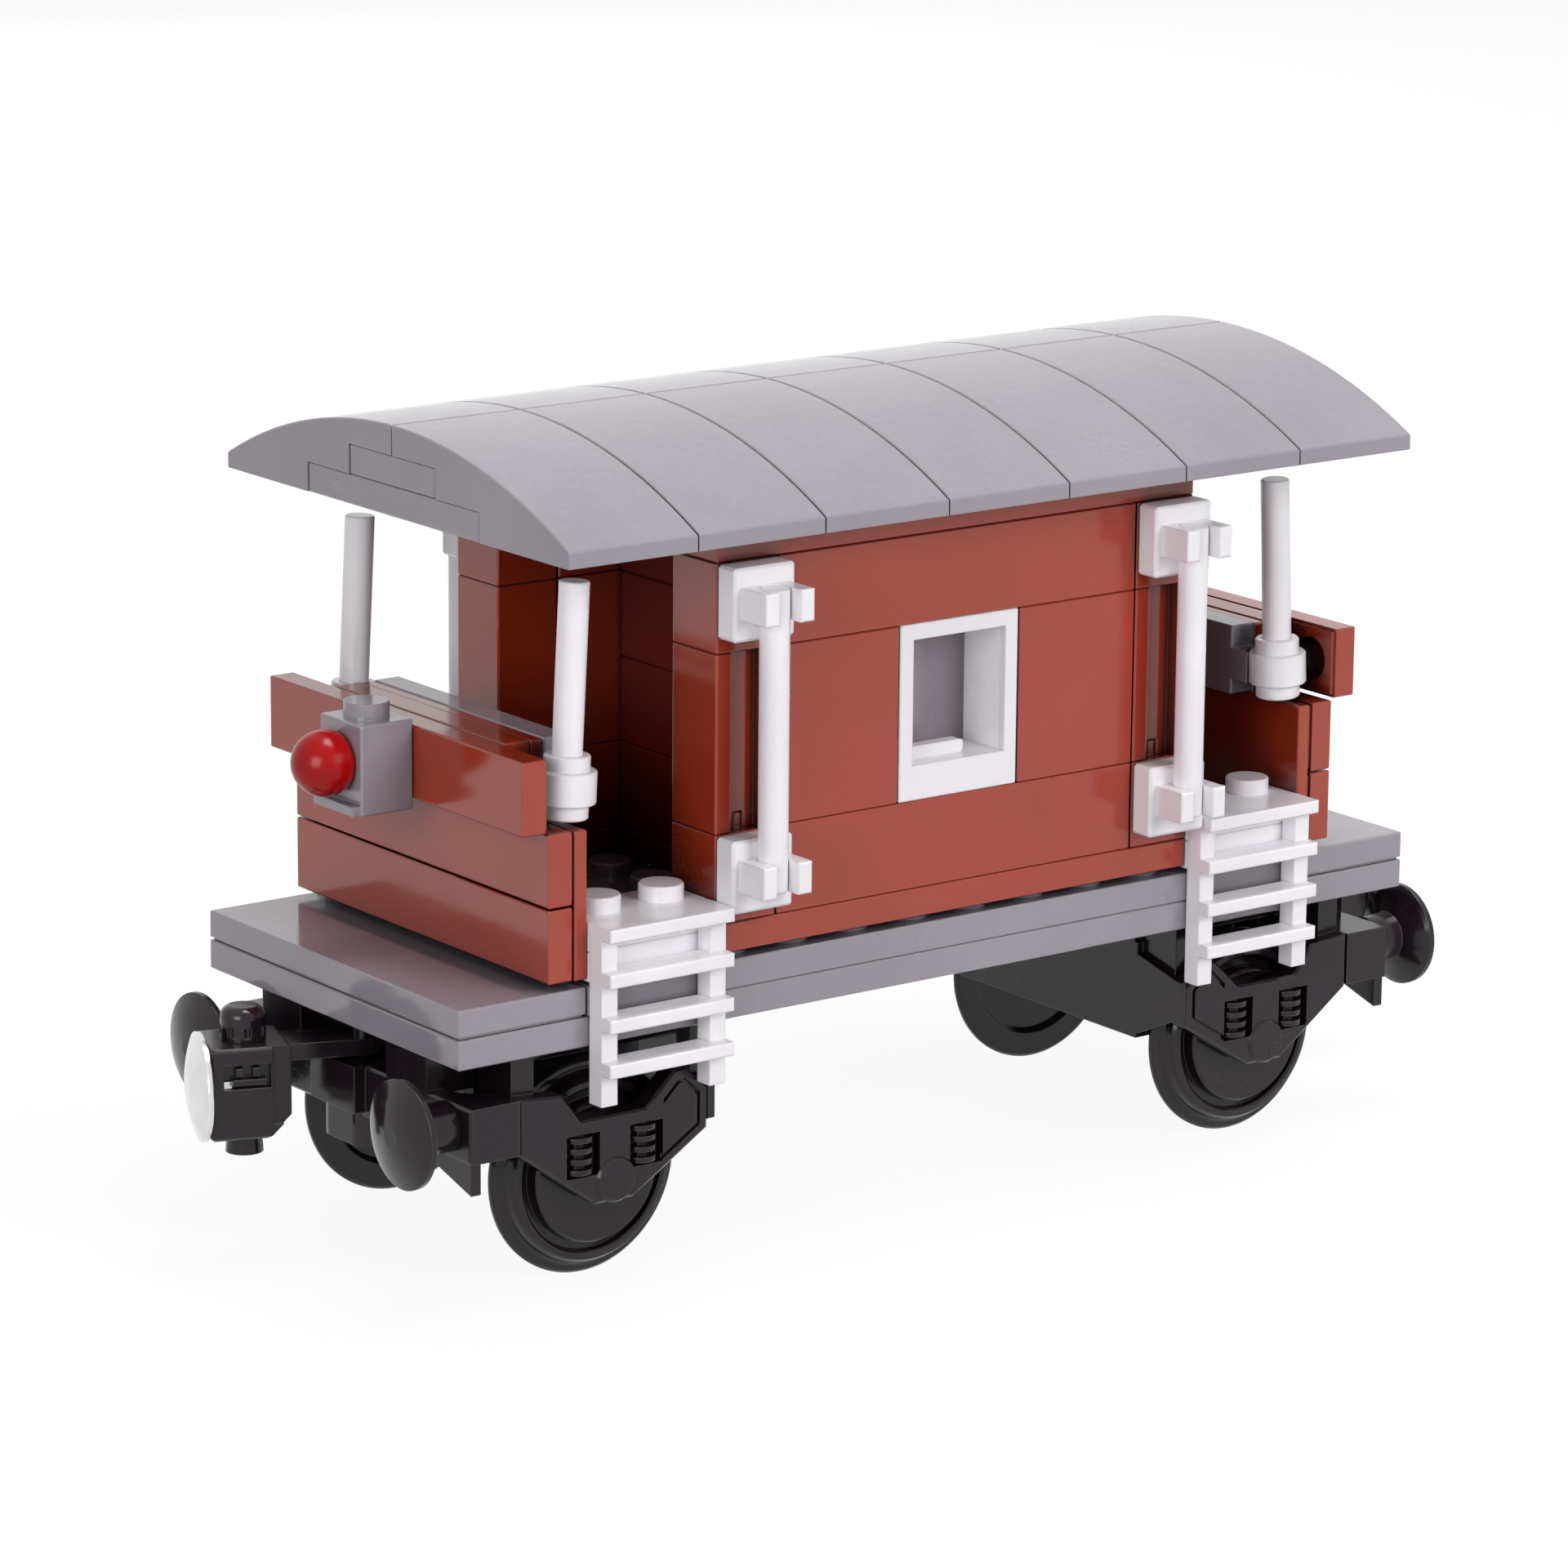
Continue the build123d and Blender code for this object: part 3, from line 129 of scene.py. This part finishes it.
# ---------------------------------------------------------------------------------- materials

EDGE_RADIUS = 0.22 * MM
# Reach of the painted shade (and painted light on white) in hollows.
RECESS_REACH = 26 * MM
SHADER_SAMPLES = 6
PLASTIC_IOR = 1.54
COAT_ROUGHNESS = 0.06
SUBSURFACE_DEPTH = 0.6 * MM
SCRATCH_COLOR = (0.80, 0.79, 0.80, 1.0)
# Colour of lightened edges: partly worn, partly painted highlight.
EDGE_WORN_AND_LIT_COLOR = (0.85, 0.83, 0.83, 1.0)
DUST_COLOR = (0.72, 0.70, 0.70, 1.0)


def rounded_edges_worn_and_lit(tree):
    """(rounded normal, mask of edges) from a small shader bevel; the mask lightens edges, partly
    worn, partly painted highlight.
    """
    bevel = add(tree, "ShaderNodeBevel", {"samples": SHADER_SAMPLES}, {"Radius": EDGE_RADIUS})
    rounded = bevel.outputs["Normal"]
    flat = add(tree, "ShaderNodeNewGeometry").outputs["Normal"]
    facing = add(tree, "ShaderNodeVectorMath", {"operation": "DOT_PRODUCT"}, {0: rounded, 1: flat})
    return rounded, remap(tree, facing.outputs["Value"], 0.995, 0.85)


def hairlines(tree, coords, stretch, scale, width):
    """Mask of sparse fine scratches that run along the axis with the smallest stretch."""
    run = stretched(tree, coords, stretch)
    ridge = noise(tree, run, scale, 3.0, 0.6, 0.4)
    distance = math_node(tree, "ABSOLUTE", math_node(tree, "SUBTRACT", ridge, 0.5))
    line = remap(tree, distance, 0.0, width, 1.0, 0.0)
    patches = remap(tree, noise(tree, coords, 60.0, 1.0), 0.56, 0.70)
    return math_node(tree, "MULTIPLY", line, patches)


def moulded_plastic(
    name, color, roughness, recess, dust, wear_and_edge_highlight, translucency=0.0, coat=0.12, specular=0.5
):
    """Glossy moulded plastic: flow variation, faint sink marks, hairlines, dust, lightened edges
    (partly worn, partly painted highlight) and a painted tone in hollows.

    recess is the painted tone of deep hollows against open faces: below 1 it is painted shade,
    above 1 painted light standing for light that the plastic passes on inside. dust is the
    strength of the dust; the argument after it is the strength of the hairlines and of the
    lightened edges.
    """
    material, tree, output, coords = new_material(name)
    rounded, edges = rounded_edges_worn_and_lit(tree)

    flow = noise(tree, coords, 38.0, 2.0, 0.5, 0.6)
    speckle = noise(tree, coords, 2600.0, 2.0, 0.6)
    tone = mix_color(tree, remap(tree, flow, 0.3, 0.7), shade(color, 0.93), shade(color, 1.07))
    tone = mix_color(tree, remap(tree, speckle, 0.45, 0.75, 0.0, 0.10), tone, shade(color, 0.8))

    scratches = math_node(
        tree,
        "MAXIMUM",
        hairlines(tree, coords, (1.0, 1.0, 9.0), 170.0, 0.012),
        hairlines(tree, coords, (9.0, 2.0, 1.0), 150.0, 0.010),
    )
    tone = mix_color(tree, math_node(tree, "MULTIPLY", scratches, wear_and_edge_highlight), tone, SCRATCH_COLOR)
    # Lightened edges: partly worn, partly painted highlight.
    tone = mix_color(tree, math_node(tree, "MULTIPLY", edges, wear_and_edge_highlight), tone, EDGE_WORN_AND_LIT_COLOR)

    facing = add(tree, "ShaderNodeNewGeometry").outputs["Normal"]
    upward = add(tree, "ShaderNodeSeparateXYZ", inputs={0: facing}).outputs["Z"]
    settled = math_node(tree, "MULTIPLY", remap(tree, upward, 0.7, 1.0), dust)
    specks = remap(tree, noise(tree, coords, 900.0, 3.0, 0.7), 0.48, 0.72)
    grains = math_node(tree, "MULTIPLY", settled, specks)
    tone = mix_color(tree, grains, tone, DUST_COLOR)

    # Painted shade in hollows: an occlusion mask darkens deep hollows, or lightens them where
    # recess is above 1.
    occlusion = add(
        tree,
        "ShaderNodeAmbientOcclusion",
        {"samples": SHADER_SAMPLES},
        {"Distance": RECESS_REACH},
    )
    openness = remap(tree, occlusion.outputs["AO"], 0.24, 0.54)
    tone = mix_color(tree, openness, shade(color, recess), tone)

    blotches = noise(tree, coords, 150.0, 3.0, 0.6)
    gloss = remap(tree, blotches, 0.3, 0.7, roughness - 0.03, roughness + 0.04)
    gloss = math_node(tree, "ADD", gloss, math_node(tree, "MULTIPLY", scratches, 0.25))
    gloss = math_node(tree, "ADD", gloss, math_node(tree, "MULTIPLY", grains, 0.9))

    normal = bump(tree, noise(tree, coords, 85.0, 1.0), 0.10, 0.5 * MM, rounded)
    normal = bump(tree, speckle, 0.05, 0.02 * MM, normal)
    normal = bump(tree, scratches, 0.15, -0.01 * MM, normal)
    surface = add(
        tree,
        "ShaderNodeBsdfPrincipled",
        inputs={
            "Base Color": tone,
            "Roughness": gloss,
            "IOR": PLASTIC_IOR,
            "Normal": normal,
            "Subsurface Weight": translucency,
            "Subsurface Radius": (1.0, 0.8, 0.7),
            "Subsurface Scale": SUBSURFACE_DEPTH,
            "Specular IOR Level": specular,
            "Coat Weight": coat,
            "Coat Roughness": COAT_ROUGHNESS,
        },
    )
    tree.links.new(surface.outputs[0], output.inputs["Surface"])
    return material


def clear_plastic(name, color, roughness, transmission, body_color):
    """Tinted transparent plastic with slight haze and moulding ripples."""
    material, tree, output, coords = new_material(name)
    rounded, _ = rounded_edges_worn_and_lit(tree)
    haze = remap(tree, noise(tree, coords, 300.0, 3.0), 0.3, 0.7, roughness, roughness + 0.05)
    normal = bump(tree, noise(tree, coords, 220.0, 1.0), 0.06, 0.2 * MM, rounded)
    tone = mix_color(tree, remap(tree, noise(tree, coords, 120.0), 0.35, 0.65), color, body_color)
    surface = add(
        tree,
        "ShaderNodeBsdfPrincipled",
        inputs={
            "Base Color": tone,
            "Roughness": haze,
            "IOR": 1.5,
            "Normal": normal,
            "Transmission Weight": transmission,
            "Specular IOR Level": 0.18,
        },
    )
    tree.links.new(surface.outputs[0], output.inputs["Surface"])
    return material


WHITE = (1, 1, 1, 1)
# Matt grey share of the pane: painted shade standing for the dark interior behind it.
PAINTED_SHADE_GREY = (0.46, 0.39, 0.45, 1)
PAINTED_SHADE_SHARE = 0.40


def window_plastic(name, tint):
    """Thin tinted sheet: a matt grey share that is painted shade of the dark interior behind it,
    reflections and faint moulding waves.
    """
    material, tree, output, coords = new_material(name)
    waves = bump(tree, noise(tree, coords, 180.0, 1.0), 0.05, 0.2 * MM)
    streaks = remap(tree, noise(tree, coords, 90.0, 3.0), 0.35, 0.65)
    tone = mix_color(tree, streaks, shade(tint, 0.94), tint)
    through = add(tree, "ShaderNodeBsdfTransparent", inputs={"Color": tone})
    painted_shade = add(tree, "ShaderNodeBsdfDiffuse", inputs={"Color": PAINTED_SHADE_GREY})
    body = mix_shaders(tree, PAINTED_SHADE_SHARE, through, painted_shade)
    mirror = {"Color": WHITE, "Roughness": 0.03, "Normal": waves}
    shine = add(tree, "ShaderNodeBsdfGlossy", inputs=mirror)
    angle = add(tree, "ShaderNodeFresnel", inputs={"IOR": 1.45, "Normal": waves}).outputs[0]
    surface = mix_shaders(tree, angle, body, shine)
    tree.links.new(surface.outputs[0], output.inputs["Surface"])
    return material


def metal(name, color, roughness, stretch, ring_strength):
    """Bright metal with fine lathe or drawing marks, light tarnish, and edges lightened, partly
    worn, partly painted highlight.
    """
    material, tree, output, coords = new_material(name)
    rounded, edges = rounded_edges_worn_and_lit(tree)
    run = stretched(tree, coords, stretch)
    marks = noise(tree, run, 900.0, 3.0, 0.6)
    tarnish = remap(tree, noise(tree, coords, 260.0, 3.0), 0.45, 0.75)
    tone = mix_color(tree, math_node(tree, "MULTIPLY", tarnish, 0.35), color, shade(color, 0.6))
    # Lighter edges: partly worn, partly painted highlight.
    tone = mix_color(tree, math_node(tree, "MULTIPLY", edges, 0.4), tone, shade(color, 1.4))
    gloss = remap(tree, marks, 0.3, 0.7, roughness, roughness + 0.10)
    normal = bump(tree, marks, ring_strength, 0.01 * MM, rounded)
    surface = add(
        tree,
        "ShaderNodeBsdfPrincipled",
        inputs={"Base Color": tone, "Metallic": 1.0, "Roughness": gloss, "Normal": normal},
    )
    tree.links.new(surface.outputs[0], output.inputs["Surface"])
    return material


# The doorways show almost black inside, so the bulkheads far inside get a darker brown: painted
# shade, not the plastic's own colour.
PAINTED_SHADE_NODES = {"bulkhead_bricks", "bulkhead_plates"}
PAINTED_SHADE_BROWN = moulded_plastic(
    "painted_shade_brown_plastic",
    (0.135, 0.014, 0.009),
    0.30,
    0.03,
    0.0,
    0.0,
    coat=0.0,
    specular=0.2,
)

# The number after each roughness is the painted tone in hollows: painted shade below 1, painted
# light above 1.
MATERIALS = {
    "light_gray_plastic": moulded_plastic(
        "light_gray_plastic", (0.262, 0.236, 0.272), 0.10, 0.45, 0.05, 0.06
    ),
    "white_plastic": moulded_plastic(
        "white_plastic", (0.75, 0.730, 0.760), 0.17, 1.22, 0.0, 0.05, translucency=0.10
    ),
    "brown_plastic": moulded_plastic(
        "brown_plastic", (0.308, 0.032, 0.011), 0.12, 0.03, 0.03, 0.04
    ),
    "black_plastic": moulded_plastic(
        "black_plastic",
        (0.0125, 0.0070, 0.0110),
        0.15,
        0.55,
        0.02,
        0.04,
        coat=0.0,
        specular=0.32,
    ),
    "smoke_pane": window_plastic("smoke_pane", (0.80, 0.77, 0.80, 1)),
    "red_lens": clear_plastic(
        "red_lens", (0.38, 0.001, 0.001, 1), 0.20, 0.15, (0.30, 0.001, 0.001, 1)
    ),
    "steel": metal("steel", (0.56, 0.55, 0.54, 1), 0.24, (1, 12, 1), 0.3),
    "polished_magnet": metal("polished_magnet", (0.72, 0.71, 0.72, 1), 0.12, (1, 1, 1), 0.1),
}

for row in frame["record"]["subparts"]:
    piece = NODES[row["node"]]
    # Bulkheads take the darker brown of painted shade.
    in_painted_shade = row["node"] in PAINTED_SHADE_NODES
    piece.data.materials.clear()
    piece.data.materials.append(PAINTED_SHADE_BROWN if in_painted_shade else MATERIALS[row["material_slot"]])
    for polygon in piece.data.polygons:
        polygon.material_index = 0

# ------------------------------------------------------------------------------------- studio

FLOOR_SIZE = 12.0
FLOOR_GLOW = 0.92
FLOOR_BOUNCE = (0.45, 0.44, 0.45, 1)


def floor_material():
    """Pale paper: almost white with a soft shadow to the camera, and it throws little light."""
    material, tree, output, coords = new_material("studio_paper")
    fibre = noise(tree, coords, 700.0, 4.0, 0.7)
    fibre = remap(tree, fibre, 0.3, 0.7)
    tone = mix_color(tree, fibre, (0.93, 0.93, 0.94, 1), (0.96, 0.96, 0.965, 1))
    paper = add(tree, "ShaderNodeBsdfDiffuse", inputs={"Color": tone})
    glow = add(tree, "ShaderNodeEmission", inputs={"Color": WHITE, "Strength": 1.0})
    shown = mix_shaders(tree, FLOOR_GLOW, paper, glow)
    dim = add(tree, "ShaderNodeBsdfDiffuse", inputs={"Color": FLOOR_BOUNCE})
    rays = add(tree, "ShaderNodeLightPath").outputs
    plain = math_node(tree, "MAXIMUM", rays["Is Camera Ray"], rays["Is Glossy Ray"])
    surface = mix_shaders(tree, plain, dim, shown)
    tree.links.new(surface.outputs[0], output.inputs["Surface"])
    return material


bpy.ops.mesh.primitive_plane_add(size=FLOOR_SIZE, location=(0, 0, cad_box[0][2]))
floor = bpy.context.object
floor.name = "studio_floor"
floor.data.materials.append(floor_material())

LIGHT_TARGET = Vector((0.0, 0.0, 0.05))

# Name, place, size, watts, and whether glossy faces mirror the light. The key and back lights
# are not mirrored, because their reflections burn out the roof from some sides.
LIGHTS = [
    ("key_light", (0.25, -0.85, 0.40), 0.5, 5.6, False),
    ("left_light", (-0.86, -0.44, 0.30), 0.5, 4.4, True),
    ("top_light", (0.12, -0.10, 0.95), 0.4, 5.6, True),
    ("back_light", (0.35, 0.85, 0.35), 0.5, 4.2, False),
]
for name, place, size, watts, mirrored in LIGHTS:
    data = bpy.data.lights.new(name, "AREA")
    data.size = size
    data.energy = watts
    light = bpy.data.objects.new(name, data)
    bpy.context.scene.collection.objects.link(light)
    light.visible_glossy = mirrored
    light.location = place
    light.rotation_euler = (LIGHT_TARGET - Vector(place)).to_track_quat("-Z", "Y").to_euler()

# Matt faces see dim surroundings, while the camera and reflections see plain white.
FILL_COLOR = (0.97, 0.97, 1.0, 1)
FILL_STRENGTH = 0.22
world = bpy.data.worlds.new("studio")
bpy.context.scene.world = world
world.use_nodes = True
tree = world.node_tree
tree.nodes.clear()
fill = add(tree, "ShaderNodeBackground", inputs={"Color": FILL_COLOR, "Strength": FILL_STRENGTH})
backdrop = add(tree, "ShaderNodeBackground", inputs={"Color": WHITE, "Strength": 1.0})
diffuse = add(tree, "ShaderNodeLightPath").outputs["Is Diffuse Ray"]
seen = math_node(tree, "SUBTRACT", 1.0, diffuse)
both = mix_shaders(tree, seen, fill, backdrop)
add(tree, "ShaderNodeOutputWorld", inputs={"Surface": both.outputs[0]})
bpy.context.scene.view_settings.view_transform = "Standard"

# The camera stands where the photograph was taken from, with a long lens turned half a degree.
CAMERA_PLACE = Vector((-405.53, -536.02, 210.24)) * MM
FORWARD = Vector((0.58056, 0.77741, -0.24204)).normalized()
ROLL_RIGHT = Vector((0.80246, -0.59664, 0.00842)).normalized()
SENSOR_MM = 36.0
LENS_MM = 145.3
up = ROLL_RIGHT.cross(FORWARD)
lens = bpy.data.cameras.new("photo_camera")
lens.sensor_width = SENSOR_MM
lens.lens = LENS_MM
lens.clip_start = 0.01
camera = bpy.data.objects.new("photo_camera", lens)
bpy.context.scene.collection.objects.link(camera)
turn = Matrix((ROLL_RIGHT, up, -FORWARD)).transposed().to_4x4()
camera.matrix_world = Matrix.Translation(CAMERA_PLACE) @ turn
bpy.context.scene.camera = camera
